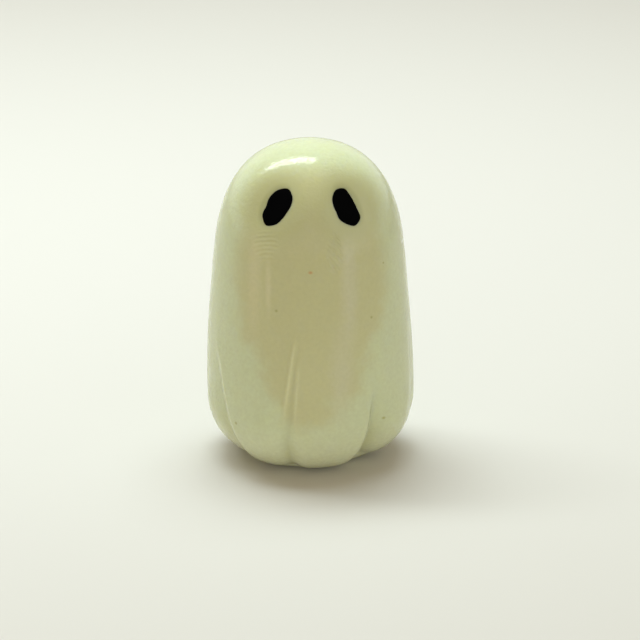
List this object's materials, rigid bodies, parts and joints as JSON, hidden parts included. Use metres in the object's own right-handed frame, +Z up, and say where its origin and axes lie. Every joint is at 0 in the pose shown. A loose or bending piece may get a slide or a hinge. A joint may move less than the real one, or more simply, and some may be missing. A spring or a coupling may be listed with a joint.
{
  "type": "glow-in-the-dark ghost figure",
  "caption": "Small resin ghost: a draped sheet with a round head, soft folds down to a tucked hem, a flat foot, and leaning black oval eyes filled into pockets.",
  "frame": {"origin": "middle of the flat foot, on the surface that the figure stands on", "axes": "+Z up through the crown of the head; the face looks along -Y; +X is to the right of someone who faces it"},
  "size_m": [0.0192, 0.0175, 0.03],
  "materials": {
    "glow_resin": "glossy cast resin, pale green-cream and milky, with glow pigment mixed in",
    "black_paint": "satin black fill"
  },
  "bodies": {
    "root": {"body_casting": "glow_resin", "left_eye_fill": "black_paint", "right_eye_fill": "black_paint"}
  },
  "joints": []
}
